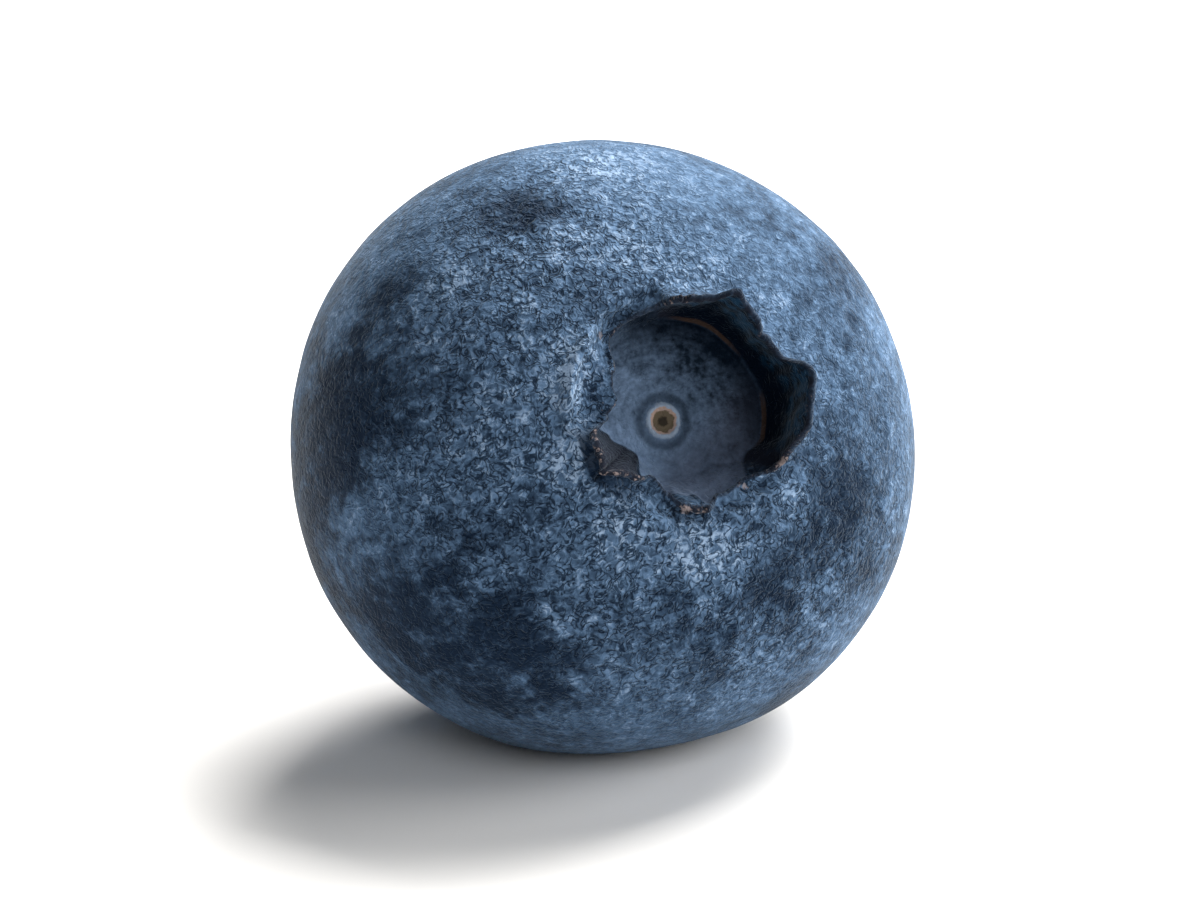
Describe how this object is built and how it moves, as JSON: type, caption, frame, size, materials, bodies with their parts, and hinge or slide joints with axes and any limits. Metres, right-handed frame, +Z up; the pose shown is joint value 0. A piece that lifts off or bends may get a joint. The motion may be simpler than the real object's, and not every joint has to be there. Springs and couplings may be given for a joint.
{
  "type": "blueberry",
  "caption": "Ripe blueberry lying on its side, with a ragged crown round a shallow dish and a pale waxy bloom on dark blue skin.",
  "frame": {"origin": "middle of the small flat spot that the berry rests on", "axes": "+Z up, -Y towards the side that the crown faces, +X to the right of someone looking along +Y"},
  "size_m": [0.017, 0.0154, 0.016],
  "materials": {
    "bloomed_skin": "dark blue fruit skin under a pale, waxy, blue-grey bloom that is rubbed through in flecks and patches"
  },
  "bodies": {
    "root": {"blueberry": "bloomed_skin"}
  },
  "joints": []
}
